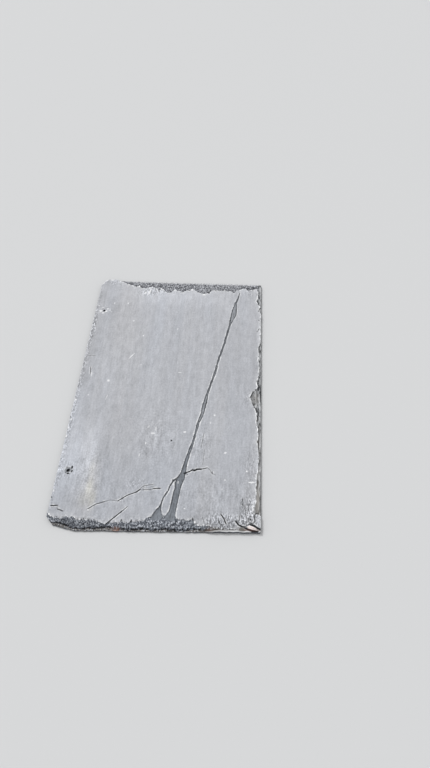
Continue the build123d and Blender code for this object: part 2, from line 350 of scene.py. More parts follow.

# Small dark pits, each given as a fleck is; those at the nail holes are painted shade in the holes
DARK_PITS_AND_HOLE_SHADE = (
    (14.5, -104, 1.6, 1.6, 0, 1), (80.3, -158, 0.8, 2.4, 0, 0.8), (23.1, -172.4, 1.2, 1.8, 0, 0.6),
    (149.5, -87.5, 0.8, 7, 0, 0.7), (150.2, -69.2, 1, 2.8, 0, 0.7), (147.9, -113.5, 0.9, 3.4, 0, 0.7),
    (148.8, -142.3, 0.9, 5, 0, 0.6), (138.9, -8.9, 1.4, 2.8, 0, 0.6), (-135.7, -160, 3.3, 2.3, 45, 1),
    (-130.6, -155.2, 1.8, 2.8, 0, 1), (-134.7, -165.8, 2.4, 1.5, 10, 1),
    (-129.8, -161.8, 1.4, 2.6, -15, 0.95), (-138.7, -164, 1.2, 1.6, 0, 0.5),
    (-138.5, -155.2, 1.6, 1.3, 0, 0.6), (-136.3, 170.5, 2.6, 1.3, 60, 0.9),
    (96.5, 150, 1.4, 1.8, 0, 0.8), (148, 151, 1.2, 1.8, 0, 0.7), (147.3, 128.5, 1, 3.6, -25, 0.8),
    (145.3, 124, 1.4, 1.6, 0, 0.5), (149.5, 180, 1, 3, -30, 1), (147.5, 174.5, 1, 2.4, -30, 0.9),
    (139.5, -9, 1.4, 2.4, 0, 0.6), (143, -3.5, 1.2, 2.2, 0, 0.6), (141, -23, 1.3, 1.8, 0, 0.6),
    (142.5, -32, 1.1, 2.4, 0, 0.7), (57, -232, 1.1, 3.2, 10, 0.9), (-44, -237, 1.1, 2.4, 0, 0.8),
    (-150.8, -205, 1, 1.8, 20, 0.8), (-150.8, -154, 1.6, 1, -15, 0.7), (-151.2, -65, 1.2, 1.4, 0, 0.7),
    (-30, -237, 1, 2.6, -10, 0.8), (137.5, -229, 1.4, 1.8, 0, 0.9), (127.5, -231.5, 2, 1.6, 0, 0.6),
)

# Grid of the face. Rows are finer at the tail and the head. Columns are finer at both sides and in a
# zone that follows the sliver across the face: Y, the zone's middle and its half width.
TAIL_ROWS, MIDDLE_ROWS, HEAD_ROWS = 30, 206, 40
TAIL_FINE, HEAD_FINE = 24, 34
SIDE_COLUMNS, LEFT_COLUMNS, ZONE_COLUMNS, RIGHT_COLUMNS = 12, 138, 44, 56
SIDE_FINE = 9
ROWS = TAIL_ROWS + MIDDLE_ROWS + HEAD_ROWS
ZONE = (
    (-254, 14, 28), (-225, 16, 24), (-190, 25, 16), (-152, 37.5, 9), (-27, 62.5, 8), (45, 77, 6),
    (167, 102.5, 8), (219, 111.5, 6), (254, 112, 6),
)

# Rings of the grid round a nail hole: the hole's own, where the pull starts to fade, and the last
HOLE_RING = 4
FADE_RING = 5
LAST_RING = 12
RING_STEP = 0.75

# The slate's materials, in their order on its mesh
FACE_FINISH, WALL_FINISH, BED_FINISH = range(3)

# Heights of a wall's levels between bed and face, as shares, the turn in degrees past which an edge of
# the mesh is sharp, and the size that no mark passes
WALL_LEVELS = (0.67, 0.34)
SHARP_ANGLE = 35
MARK_LIMIT = 20

# Cells along each side of the lattice that noise is drawn from
LATTICE = 512


def ease(share):
    """A share held between 0 and 1, eased at both ends."""
    share = np.clip(share, 0, 1)
    return share * share * (3 - 2 * share)


def cells(across, along, cell_across, cell_along):
    """Each place counted in cells, as column and row, and the whole numbers of the cell that it is in."""
    column = across / cell_across + FAR
    row = along / cell_along + FAR
    return column, row, np.floor(column).astype(int), np.floor(row).astype(int)


def lattice(across, along, cell_across, cell_along, seed):
    """Smooth noise from -1 to 1: random heights on a lattice, eased between each cell's four corners."""
    heights = np.random.default_rng(seed).uniform(-1, 1, (LATTICE, LATTICE))
    column, row, left, low = cells(across, along, cell_across, cell_along)
    share_across = ease(column - left)
    share_along = ease(row - low)

    def corner(step_across, step_along):
        return heights[(low + step_along) % LATTICE, (left + step_across) % LATTICE]

    lower = corner(0, 0) * (1 - share_across) + corner(1, 0) * share_across
    upper = corner(0, 1) * (1 - share_across) + corner(1, 1) * share_across
    return lower * (1 - share_along) + upper * share_along


def rough(across, along, cell_across, cell_along, seed, octaves=3):
    """Noise of several sizes added up, each half as wide and half as high as the last, from -1 to 1."""
    total = 0
    weight = 0
    for octave in range(octaves):
        share = 0.5**octave
        total = total + share * lattice(across, along, cell_across * share, cell_along * share, seed + octave)
        weight += share
    return total / weight


def rough_share(across, along, cell_across, cell_along, seed):
    """The same noise, from 0 to 1."""
    return 0.5 + 0.5 * rough(across, along, cell_across, cell_along, seed)


def flakes(across, along, size, seed):
    """A random height from 0 to 1 for each flake: every place takes that of the nearest scattered point."""
    random = np.random.default_rng(seed)
    offset_across, offset_along, height = random.uniform(0, 1, (3, LATTICE, LATTICE))
    column, row, left, low = cells(across, along, size, size)
    nearest = np.full(column.shape, float(FAR))
    taken = np.zeros(column.shape)
    for step_across in (-1, 0, 1):
        for step_along in (-1, 0, 1):
            at = ((low + step_along) % LATTICE, (left + step_across) % LATTICE)
            away = np.hypot(
                left + step_across + offset_across[at] - column,
                low + step_along + offset_along[at] - row,
            )
            taken = np.where(away < nearest, height[at], taken)
            nearest = np.minimum(away, nearest)
    return taken


def head_line(x):
    """Y of the head: a straight line that falls from left to right."""
    return HALF_LENGTH - HEAD_FALL * (x + HALF_WIDTH) / (2 * HALF_WIDTH)


def tail_line(x):
    """Y of the tail: a straight line that rises from left to right."""
    return -HALF_LENGTH + TAIL_RISE * (x + HALF_WIDTH) / (2 * HALF_WIDTH)


def from_sides(x, y):
    """How far each place of the unbroken tile is from its left side, right side, tail and head."""
    return x + HALF_WIDTH, HALF_WIDTH - x, y - tail_line(x), head_line(x) - y


def border(place, points):
    """Height of a given line over each place, straight between its points."""
    places, heights = np.array(sorted(points)).T
    return np.interp(place, places, heights)


def dropped(x, y, start, end):
    """Each place dropped square onto a run: how far along it lands, held to the run, and its distance."""
    run_x, run_y = end[0] - start[0], end[1] - start[1]
    share = ((x - start[0]) * run_x + (y - start[1]) * run_y) / (run_x**2 + run_y**2)
    share = np.clip(share, 0, 1)
    return share, np.hypot(x - start[0] - share * run_x, y - start[1] - share * run_y)


def strip_inside(x, y, stations):
    """How far inside a strip of changing width each place is, below 0 outside it.

    A place is inside a run between two stations by the strip's half width where it is dropped onto the
    run, less its distance from the run, and the best run counts.
    """
    inside = np.full(x.shape, -float(FAR))
    for start, end in zip(stations, stations[1:]):
        share, away = dropped(x, y, start, end)
        inside = np.maximum(inside, (start[2] + share * (end[2] - start[2])) / 2 - away)
    return inside


def crack_marks(x, y):
    """How many half widths each place is to one side of its nearest crack, and how dark that crack is.

    The side is measured square to the crack's run, and changes sign where the run is crossed. The
    darkness is full beside a run and fades past its ends and away from it.
    """
    nearest = np.full(x.shape, float(FAR))
    side = nearest
    strength = np.zeros(x.shape)
    for half_width, darkness, points in CRACKS:
        for start, end in zip(points, points[1:]):
            _, away = dropped(x, y, start, end)
            run_x, run_y = end[0] - start[0], end[1] - start[1]
            across = (run_x * (y - start[1]) - run_y * (x - start[0])) / np.hypot(run_x, run_y)
            past_end = away - np.abs(across)
            here = darkness * ease(1 - past_end / CRACK_TAPER) * ease((CRACK_REACH - away) / CRACK_TAPER)
            nearer = away < nearest
            side = np.where(nearer, across / half_width, side)
            strength = np.where(nearer, here, strength)
            nearest = np.minimum(away, nearest)
    return side, strength


def plain_grid():
    """X and Y of the face's grid before its outline is broken.

    Each row lies at one share of the way from tail to head. Along it the columns are spaced evenly within
    five blocks, whose ends are the sides, the fine strips beside them, and the zone round the sliver.
    """
    length = 2 * HALF_LENGTH
    stops = (0, TAIL_ROWS, TAIL_ROWS + MIDDLE_ROWS, ROWS)
    places = (0, TAIL_FINE / length, 1 - HEAD_FINE / length, 1)
    share = np.interp(np.arange(ROWS + 1), stops, places)[:, None]
    level = share * length - HALF_LENGTH
    zone_y, zone_middle, zone_half = np.array(ZONE).T
    middle = np.interp(level, zone_y, zone_middle)
    half = np.interp(level, zone_y, zone_half)
    side = np.full(level.shape, HALF_WIDTH)
    ends = (-side, SIDE_FINE - side, middle - half, middle + half, side - SIDE_FINE, side)
    counts = (SIDE_COLUMNS, LEFT_COLUMNS, ZONE_COLUMNS, RIGHT_COLUMNS, SIDE_COLUMNS)
    blocks = []
    for start, end, count in zip(ends, ends[1:], counts):
        step = np.arange(count) / count
        blocks.append(start + (end - start) * step)
    x = np.hstack(blocks + [side])
    y = tail_line(x) * (1 - share) + head_line(x) * share
    return x, y


def broken_outline(x, y):
    """The grid with its rim moved in to the real outline.

    Each side's places move by its small bites and by its corners' moves, which fade along the side over
    their reach. A side's shift fades out over RIM_FADE as the square of what is left of the way, and where
    two sides meet, their corner's shift is taken off once so that it isn't counted twice.
    """
    moves = {}
    for name, row, column in (
        ("tail_left", 0, 0), ("tail_right", 0, -1), ("head_left", -1, 0), ("head_right", -1, -1),
    ):
        moves[name] = np.array(CORNERS[name][0]) - (x[row, column], y[row, column])

    shifts = []
    for along, first, last, reach, inward, bite, seed in (
        (y[:, 0], "tail_left", "head_left", 1, (1, 0), LEFT_BITE, 11),
        (y[:, -1], "tail_right", "head_right", 1, (-1, 0), RIGHT_BITE, 12),
        (x[0], "tail_left", "tail_right", 2, (0, 1), TAIL_BITE, 13),
        (x[-1], "head_left", "head_right", 2, (0, -1), HEAD_BITE, 14),
    ):
        from_first, from_last = along - along[0], along[-1] - along
        nibble = bite * rough_share(along, along * 0, BITE_WIDTH, 1, seed)
        nibble = nibble * ease(from_first / BITE_FADE) * ease(from_last / BITE_FADE)
        shift = nibble[:, None] * np.array(inward)
        for away, name in ((from_first, first), (from_last, last)):
            shift = shift + np.clip(1 - away / CORNERS[name][reach], 0, 1)[:, None] * moves[name]
        shifts.append(shift)
    left, right, tail, head = shifts

    near_left, near_right, near_tail, near_head = (
        np.clip(1 - away / RIM_FADE, 0, 1) ** 2 for away in from_sides(x, y)
    )
    moved = []
    for axis, plain in enumerate((x, y)):
        shift = left[:, axis, None] * near_left + right[:, axis, None] * near_right
        shift = shift + tail[:, axis] * near_tail + head[:, axis] * near_head
        for name, near in (
            ("tail_left", near_left * near_tail),
            ("tail_right", near_right * near_tail),
            ("head_left", near_left * near_head),
            ("head_right", near_right * near_head),
        ):
            shift = shift - moves[name][axis] * near
        moved.append(plain + shift)
    return moved


def rings_round_hole(x, y, hole):
    """Pulls the grid's square rings round a nail hole onto circles, and gives the hole's row and column.

    Ring HOLE_RING is the hole's own. The rings outside it are circles RING_STEP apart, which turn back
    into the grid's own squares by LAST_RING.
    """
    away = np.hypot(x - hole[0], y - hole[1])
    row, column = np.unravel_index(np.argmin(away), away.shape)
    row, column = row + row % 2, column + column % 2
    step_along = np.arange(x.shape[0])[:, None] - row
    step_across = np.arange(x.shape[1])[None, :] - column
    ring = np.maximum(np.abs(step_along), np.abs(step_across))
    turn = np.arctan2(step_along, step_across)
    radius = HOLE_RADIUS + (ring - HOLE_RING) * RING_STEP
    own = 1 - ease((ring - FADE_RING) / (LAST_RING - FADE_RING))
    pulled_x = own * (hole[0] + radius * np.cos(turn)) + (1 - own) * x
    pulled_y = own * (hole[1] + radius * np.sin(turn)) + (1 - own) * y
    near = (ring >= HOLE_RING) & (ring < LAST_RING)
    return np.where(near, pulled_x, x), np.where(near, pulled_y, y), row, column


def band_share(inside, from_rim):
    """The share of the way from where the face ends to the rim, 0 on the face."""
    inside = np.maximum(inside, 0)
    return inside / (inside + np.maximum(from_rim, 0) + TINY)


def ledges(share, layers, x, y, wander, seed):
    """Depth of a stack of broken layers: each drops where the share passes its place, which wanders."""
    depth = np.zeros(share.shape)
    for layer, (place, drop) in enumerate(layers):
        edge = place + wander * rough(x, y, 7, 4, seed + 10 * layer)
        depth += drop * ease((share - edge) / LEDGE_DROP)
    return depth


def patched(x, y, ovals):
    """Soft ovals added up: each is full at its middle and 0 past its reach."""
    total = np.zeros(x.shape)
    for middle_x, middle_y, reach_x, reach_y, strength in ovals:
        away = np.hypot((x - middle_x) / reach_x, (y - middle_y) / reach_y)
        total += strength * ease(1 - away)
    return total


def broken_in(x, y):
    """How far inside the head's, the right side's and the tail's broken bands and the sliver each place is.

    Each band begins at its given line, moved by teeth. The tail's gives way where the sliver meets it.
    """
    teeth = COARSE_TEETH * rough(x, y, 6, 6, 21) + FINE_TEETH * rough(x, y, 3, 3, 25, 2)
    head_in = y - border(x, HEAD_BREAK) + HEAD_TEETH * teeth
    right_in = x - border(y, RIGHT_BREAK) + RIGHT_TEETH * teeth
    sliver_in = np.maximum(
        strip_inside(x, y, SLIVER) + SLIVER_WANDER * rough(x, y, 2.2, 7, 61),
        strip_inside(x, y, BRANCH) + BRANCH_WANDER * rough(x, y, 2, 5, 66),
    )
    for spur in SPURS:
        sliver_in = np.maximum(sliver_in, strip_inside(x, y, spur))
    tail_in = border(x, TAIL_BREAK) - y + TAIL_TEETH * teeth - FOOT_REACH * ease(sliver_in / FOOT_FADE)
    return head_in, right_in, tail_in, sliver_in


def crater(x, y, hole):
    """How far inside a nail hole's crater each place is, and how deep it is there, deepest at the hole."""
    away = np.hypot(x - hole[0], y - hole[1])
    reach = CRATER_RADIUS * (1 + CRATER_WANDER * rough(x, y, 4, 4, 101))
    depth = CRATER_DEPTH * np.clip((reach - away) / (reach - HOLE_RADIUS), 0, 1) ** CRATER_CURVE
    return reach - away, depth


def face_shape(x, y, plain_x, plain_y):
    """Height of the face over its bed, and the marks that its finish reads.

    The face is the thickness less a slow riven swell, less the deepest of the broken layers at the head,
    the right side and the tail, the worn left arris and the sliver, less the crumbs on broken stone, the
    craters of the nail holes and the cracks. Depth in a broken band goes by the share of the way from
    where the face ends to the rim.
    """
    from_left, from_right, from_tail, from_head = from_sides(plain_x, plain_y)
    head_in, right_in, tail_in, sliver_in = broken_in(x, y)

    head_share = band_share(head_in, from_head)
    head_depth = ledges(head_share, HEAD_LEDGES, x, y, HEAD_WANDER, 31) + HEAD_SLOPE * head_share
    right_share = band_share(right_in, from_right)
    right_depth = ledges(right_share, RIGHT_LEDGES, x, y, RIGHT_WANDER, 131)
    tail_share = band_share(tail_in, from_tail)
    tail_depth = ledges(tail_share, TAIL_LEDGES, x, y, TAIL_WANDER, 231)
    facets = flakes(x, y * CHIP_SPREAD, CHIP_SIZE, 41)
    chipped = CHIP_DEPTH * (facets - 0.5) * ease(tail_share / CHIP_FADE)
    tail_depth = np.maximum(tail_depth + chipped, 0)
    tail_pale = ease((x - TAIL_PALE_FROM) / (TAIL_PALE_TO - TAIL_PALE_FROM))
    tail_depth = np.minimum(tail_depth, THICKNESS - TAIL_LEAST_LEFT) * (1 - TAIL_PALE_RISE * tail_pale)
    arris = ARRIS_WEAR + ARRIS_WANDER * rough(x, y, 5, 5, 51)
    left_depth = np.clip(1 - from_left / arris, 0, 1) ** ARRIS_CURVE
    sliver_depth = LAMINA * ease(sliver_in / LAMINA_EDGE + 0.5) + LAMINA_RIPPLE * rough(x, y, 3, 16, 71)
    sliver_depth = sliver_depth * (sliver_in > -1)
    depth = np.maximum.reduce((head_depth, right_depth, tail_depth, left_depth, sliver_depth))
    swell = FACE_SWELL * rough_share(x, y, 42, 130, 81) + FACE_RIPPLE * rough_share(x, y, 6, 34, 85)

    broken = np.maximum.reduce((head_in, right_in, tail_in))
    depth = depth + CRUMB_DEPTH * rough_share(x, y, 3, 3, 91) * ease(broken / CRUMB_FADE)
    for hole in NAIL_HOLES:
        crater_in, crater_depth = crater(x, y, hole)
        depth = depth + crater_depth
    crack_side, crack_dark = crack_marks(x, y)
    depth = depth + CRACK_DROP * crack_dark * ease(CRACK_LIP - np.abs(crack_side))

    marks = {
        "broken": broken,
        "head_in": head_in,
        "tail_in": tail_in,
        "right_in": right_in,
        "sliver": sliver_in,
        "rim": np.minimum.reduce((from_left, from_right, from_tail, from_head)),
        "facet": facets,
        "crack_side": crack_side,
        "crack_dark": crack_dark,
        "tail_crater": crater_in,
        "tail_pale": tail_pale,
        "tail_step": from_tail - border(x, TAIL_STEP) + STEP_WANDER * rough(x, y, 9, 9, 301),
    }
    for name, ovals in PATCHES.items():
        marks[name] = patched(x, y, ovals)
    marks["level"] = marks["level"] + LEVEL_SLOPE * y / HALF_LENGTH
    return THICKNESS - FACE_LEAST - swell - depth, marks


def bed_shape(x, y, plain_x, plain_y):
    """Height of the bed over the floor: a slow riven swell with shallow steps, nowhere below 0."""
    swell = BED_SWELL * rough_share(x, y, 38, 110, 111)
    step = BED_STEP * ease(rough(x, y, 26, 70, 121) / BED_STEP_EDGE + 0.5)
    rim = np.minimum.reduce(from_sides(plain_x, plain_y))
    return np.maximum(swell + step - BED_SUNK, 0) * ease(rim / BED_FADE)


def grid_faces(numbers, holes, ring):
    """Four-cornered faces of a grid of vertex numbers, anticlockwise, less the squares in the holes."""
    low_left, low_right = numbers[:-1, :-1], numbers[:-1, 1:]
    high_right, high_left = numbers[1:, 1:], numbers[1:, :-1]
    faces = np.stack((low_left, low_right, high_right, high_left), axis=-1)
    kept = np.ones(low_left.shape, dtype=bool)
    for row, column in holes:
        kept[row - ring:row + ring, column - ring:column + ring] = False
    return faces[kept]


def rim_numbers(numbers):
    """Vertex numbers round a grid, anticlockwise from its tail's left corner."""
    return np.concatenate((numbers[0, :-1], numbers[:-1, -1], numbers[-1, :0:-1], numbers[:0:-1, 0]))


def ring_numbers(numbers, row, column, ring):
    """Vertex numbers round the square ring that many steps from a vertex, clockwise."""
    square = numbers[row - ring:row + ring + 1, column - ring:column + ring + 1]
    return np.roll(rim_numbers(square)[::-1], 1)


def wall_faces(upper, lower):
    """Four-cornered faces between two loops of as many vertices, one over the other."""
    return np.stack((lower, np.roll(lower, -1), np.roll(upper, -1), upper), axis=-1)


def stitch_faces(upper, lower):
    """Triangles between a loop and the one below it, which has half as many vertices."""
    first, middle, last = upper[0::2], upper[1::2], np.roll(upper[0::2], -1)
    next_lower = np.roll(lower, -1)
    triangles = ((lower, next_lower, middle), (lower, middle, first), (next_lower, last, middle))
    return np.concatenate([np.stack(corners, axis=-1) for corners in triangles])


def wall_levels(top, floor, bitten):
    """The places of a wall's levels between its top and the floor under it, with bites out of each."""
    levels = []
    for level, share in enumerate(WALL_LEVELS):
        wall = top.copy()
        wall[:, 2] = floor + (top[:, 2] - floor) * share
        if bitten:
            travel = np.arange(len(top)) * 1.0
            bite = WALL_BITE * rough_share(travel, travel * 0, 3, 1, 141 + 10 * level)
            wall[:, :2] *= 1 - bite[:, None] / HALF_WIDTH
        levels.append(wall)
    return levels


def slate_surface():
    """The slate's closed surface: its places, squares and triangles, each one's finish, and the marks.

    A wall drops from the face in levels, at the rim and at each nail hole, and the last of them is stitched
    to the bed, whose grid has every second vertex of the face's.
    """
    plain_x, plain_y = plain_grid()
    x, y = broken_outline(plain_x, plain_y)
    holes = []
    for hole in NAIL_HOLES:
        x, y, row, column = rings_round_hole(x, y, hole)
        holes.append((row, column))
    bed_holes = [(row // 2, column // 2) for row, column in holes]
    height, marks = face_shape(x, y, plain_x, plain_y)
    bed = bed_shape(x, y, plain_x, plain_y)

    half = (slice(None, None, 2), slice(None, None, 2))
    places = [
        np.stack((x, y, height), axis=-1).reshape(-1, 3),
        np.stack((x[half], y[half], bed[half]), axis=-1).reshape(-1, 3),
    ]
    face_numbers = np.arange(x.size).reshape(x.shape)
    bed_numbers = x.size + np.arange(x[half].size).reshape(x[half].shape)
    count = x.size + x[half].size
    squares = [
        grid_faces(face_numbers, holes, HOLE_RING),
        grid_faces(bed_numbers, bed_holes, HOLE_RING // 2)[:, ::-1],
    ]
    finish = [np.full(len(squares[0]), FACE_FINISH), np.full(len(squares[1]), BED_FINISH)]
    triangles = []

    loops = [(rim_numbers(face_numbers), rim_numbers(bed_numbers), True)]
    for hole, bed_hole in zip(holes, bed_holes):
        upper = ring_numbers(face_numbers, *hole, HOLE_RING)
        loops.append((upper, ring_numbers(bed_numbers, *bed_hole, HOLE_RING // 2), False))
    for upper, lower, bitten in loops:
        before = upper
        for wall in wall_levels(places[0][upper], bed.reshape(-1)[upper], bitten):
            places.append(wall)
            numbers = count + np.arange(len(upper))
            count += len(upper)
            squares.append(wall_faces(before, numbers))
            before = numbers
        triangles.append(stitch_faces(before, lower))
    triangles = np.concatenate(triangles)
    walls = sum(len(part) for part in squares[2:]) + len(triangles)
    finish = np.concatenate(finish + [np.full(walls, WALL_FINISH)])
    return np.concatenate(places), np.concatenate(squares), triangles, finish, marks


def slate_mesh():
    """The slate's mesh, without the places that no face uses. Marks are 0 off the face."""
    places, squares, triangles, finish, marks = slate_surface()
    used = np.zeros(len(places), dtype=bool)
    used[squares] = True
    used[triangles] = True
    renumbered = np.cumsum(used) - 1
    faces = renumbered[squares].tolist() + renumbered[triangles].tolist()
    mesh = bpy.data.meshes.new("slate")
    mesh.from_pydata((places[used] * MM).tolist(), [], faces)
    mesh.polygons.foreach_set("material_index", finish)
    for name, values in marks.items():
        spread = np.zeros(len(places))
        spread[:values.size] = np.clip(values, -MARK_LIMIT, MARK_LIMIT).reshape(-1)
        layer = mesh.attributes.new(name, "FLOAT", "POINT")
        layer.data.foreach_set("value", spread[used])
    mesh.polygons.foreach_set("use_smooth", np.ones(len(finish), dtype=bool))
    mesh.set_sharp_from_angle(angle=radians(SHARP_ANGLE))
    mesh.validate()
    mesh.update()
    return mesh


def tone(*channels):
    """A colour as it is seen in plain light, each channel out of 255, made linear as a shader takes it."""
    seen = np.array(channels) / 255
    linear = np.where(seen <= 0.04045, seen / 12.92, ((seen + 0.055) / 1.055) ** 2.4)
    return (*linear.tolist(), 1.0)


FACE_WARM = tone(182, 183, 187)
FACE_COOL = tone(178, 182, 190)
CREAM = tone(199, 198, 191)
# Pale bruised stone, also the colour of the painted highlights on arrises and rims
BRUISED_AND_HIGHLIGHT = tone(236, 237, 239)
SPLIT = tone(140, 143, 148)
SPLIT_TAIL = tone(125, 130, 137)
# Painted shadow just inside the sliver's edge
SPLIT_EDGE_SHADOW = tone(76, 79, 84)
HEAD_DARK = tone(66, 68, 73)
HEAD_LIGHT = tone(192, 194, 200)
SIDE_DARK = tone(44, 46, 49)
SIDE_LIGHT = tone(196, 199, 203)
# Near black, as deep as the shadow in the tail's gaps: its painted step shadow and darkest chips; also the
# walls' dark layers
CHIP_DARK = tone(20, 21, 24)
CHIP_MIDDLE = tone(112, 117, 126)
CHIP_LIGHT = tone(208, 212, 219)
STEP_STONE = tone(134, 131, 129)
CRATER_STONE = tone(143, 146, 151)
CRACK = tone(24, 26, 29)
RUSTY_CRACK = tone(70, 44, 38)
RUST = tone(166, 126, 108)
MOSS = tone(108, 104, 99)
DUST = tone(172, 169, 165)
LENS = tone(250, 238, 234)
BED = tone(120, 124, 130)
BED_STAIN = tone(136, 134, 128)
FLOOR = tone(214, 215, 216)

# How much of a colour's light one step of the level mark is, and the shade that no step leaves
LEVEL_STEP = 0.012
LEVEL_MIDDLE = 0.49

# Fineness of broken stone's light and dark pieces: one over their size across, along and up, in metres
CRUMBS = (600, 380, 600)
PATCHY = (230, 190, 230)
UPRIGHT = (560, 95, 560)
STROKES = (640, 190, 640)
SPECKS = (620, 560, 620)

# Y in metres between which the sliver's stone turns to its colour at the tail, and where its foot is bared
SPLIT_TURNS = (-0.05, -0.16)
SPLIT_FOOT = (-0.216, -0.228)

# How far inside the sliver its dark edge, a painted shadow of the step down from the face, begins and ends to
# fade
SPLIT_INSIDE = (0.7, 2.3)

# How far outside a band, the sliver or a crater the face turns bruised, with 0 at its edge, and how many
# half widths from a crack
BAND_FRINGE = (-2.8, -0.9)
WIDE_FRINGE = (-9.0, -2.0)
TAIL_FRINGE = (-4.5, -1.0)
RIGHT_FRINGE = (-2.8, -0.8)
SLIVER_FRINGE = (-2.4, -0.9)
CRATER_FRINGE = (-2.6, -0.8)
CRACK_FRINGE = (3.6, 2.0)

# Where the dark of a crack and the stone of a crater begin and are full, measured in the same way
CRACK_EDGE = (1.4, 0.7)
CRATER_EDGE = (-0.3, 0.7)

# How far in from the rim each arris is pale, and the right side's foot is dark: a painted highlight on each
# arris, with worn pale stone as well on the face's, and a painted shadow of the gap at the foot
FACE_ARRIS_WEAR_AND_HIGHLIGHT = (2.3, 1.0)
HEAD_ARRIS_HIGHLIGHT = (5.5, 3.0)
SIDE_ARRIS_HIGHLIGHT = (3.6, 2.4)
TAIL_ARRIS_HIGHLIGHT = (2.4, 1.2)
SIDE_FOOT_SHADOW = (1.4, 0.6)

# Distances from the step at the tail: where the shadow over it begins and ends, and the lowest layer's
# own stone
STEP_SHADOW = ((-1.4, -0.2), (2.6, 0.6))
STEP_BARED = (-0.4, -1.2)


class Value:
    """What a node puts out. Numbers are added, taken away, multiplied and divided as written."""

    def __init__(self, tree, socket):
        self.tree = tree
        self.socket = socket

    def maths(self, operation, other=0.0, clamp=False):
        """What a Math node makes of this number and another."""
        return add(self.tree, "ShaderNodeMath", {0: self, 1: other}, operation=operation, use_clamp=clamp)

    def __add__(self, other):
        return self.maths("ADD", other)

    def __sub__(self, other):
        return self.maths("SUBTRACT", other)

    def __rsub__(self, other):
        return self * -1 + other

    def __mul__(self, other):
        return self.maths("MULTIPLY", other)

    def __truediv__(self, other):
        return self.maths("DIVIDE", other)

    def __abs__(self):
        return self.maths("ABSOLUTE")


def feed(tree, value, socket):
    """Sets a socket to a value, or links it to what another node puts out."""
    if isinstance(value, Value):
        tree.links.new(value.socket, socket)
    else:
        socket.default_value = value


def add(tree, kind, inputs=None, output=0, **settings):
    """What a new node with these inputs and settings puts out."""
    node = tree.nodes.new(kind)
    for name, value in settings.items():
        setattr(node, name, value)
    for name, value in (inputs or {}).items():
        feed(tree, value, node.inputs[name])
    return Value(tree, node.outputs[output])


def vector_maths(operation, first, second=None, output=0):
    """What a Vector Math node makes of one vector, or of two."""
    inputs = {0: first} if second is None else {0: first, 1: second}
    return add(first.tree, "ShaderNodeVectorMath", inputs, output, operation=operation)


def most(first, *others):
    """The greatest of several numbers at each place."""
    for other in others:
        first = first.maths("MAXIMUM", other)
    return first


def mixed(share, first, second):
    """A colour that goes from the first to the second with the share, which is held between 0 and 1."""
    return add(share.tree, "ShaderNodeMix", {0: share, 6: first, 7: second}, 2, data_type="RGBA")


def lit(colour, shade, amount):
    """A colour made lighter or darker by a shade that is 0.5 in its middle."""
    scale = (shade - 0.5) * amount + 1
    return add(shade.tree, "ShaderNodeVectorMath", {0: colour, 3: scale}, operation="SCALE")


def remap(value, low, high, new_low=0.0, new_high=1.0):
    """A value eased from one range to another and held there."""
    inputs = {0: value, 1: low, 2: high, 3: new_low, 4: new_high}
    return add(value.tree, "ShaderNodeMapRange", inputs, interpolation_type="SMOOTHSTEP")


def own_place(tree):
    """Object coordinates."""
    return add(tree, "ShaderNodeTexCoord", output="Object")


def noise(tree, fineness, detail, roughness, turn=0.0):
    """Noise of about 0 to 1, in lumps of one over the fineness along each axis, turned about Z."""
    place = {"Vector": own_place(tree), "Scale": fineness, "Rotation": (0.0, 0.0, radians(turn))}
    stretched = add(tree, "ShaderNodeMapping", place)
    inputs = {"Vector": stretched, "Scale": 1.0, "Detail": detail, "Roughness": roughness}
    return add(tree, "ShaderNodeTexNoise", inputs)


def mark(tree, name):
    """One of the mesh's marks."""
    return add(tree, "ShaderNodeAttribute", output="Fac", attribute_name=name)


def new_group(name, inputs, outputs):
    """An empty node group: its tree, the values that come in, by name, and the sockets that go out.

    An input takes the kind of its value here, a vector or a number, and each output is a number.
    """
    tree = bpy.data.node_groups.new(name, "ShaderNodeTree")
    for label, value in inputs.items():
        kind = "NodeSocketVector" if isinstance(value, tuple) else "NodeSocketFloat"
        tree.interface.new_socket(label, in_out="INPUT", socket_type=kind).default_value = value
    for label in outputs:
        tree.interface.new_socket(label, in_out="OUTPUT", socket_type="NodeSocketFloat")
    source = tree.nodes.new("NodeGroupInput")
    given = {label: Value(tree, source.outputs[label]) for label in inputs}
    return tree, given, tree.nodes.new("NodeGroupOutput").inputs


def grouped(tree, group, **inputs):
    """What a node group placed in a tree puts out, by name."""
    node = tree.nodes.new("ShaderNodeGroup")
    node.node_tree = group
    for name, value in inputs.items():
        feed(tree, value, node.inputs[name])
    return {socket.name: Value(tree, socket) for socket in node.outputs}


def riven_grain_group():
    """Fine grain of a split face, drawn out along Y: how light it is and how high."""
    tree, _, out = new_group("riven_grain", {}, ("Shade", "Height"))
    long_grain = noise(tree, (330, 50, 330), 3, 0.65, 2)
    speckle = noise(tree, (420, 330, 420), 3, 0.6)
    mottle = noise(tree, (110, 60, 110), 2, 0.5)
    both = long_grain * 0.45 + speckle * 0.55
    feed(tree, both * 0.75 + mottle * 0.25, out["Shade"])
    feed(tree, both, out["Height"])
    return tree


def bedding_streaks_group():
    """Slow streaks that run the slate's length: how warm and how light each is."""
    tree, _, out = new_group("bedding_streaks", {}, ("Warmth", "Shade"))
    wide = noise(tree, (28, 2.6, 28), 2, 0.5, -1.5)
    narrow = noise(tree, (150, 5, 150), 2, 0.6, -1.5)
    feed(tree, remap(wide, 0.38, 0.66), out["Warmth"])
    feed(tree, wide * 0.4 + narrow * 0.6, out["Shade"])
    return tree


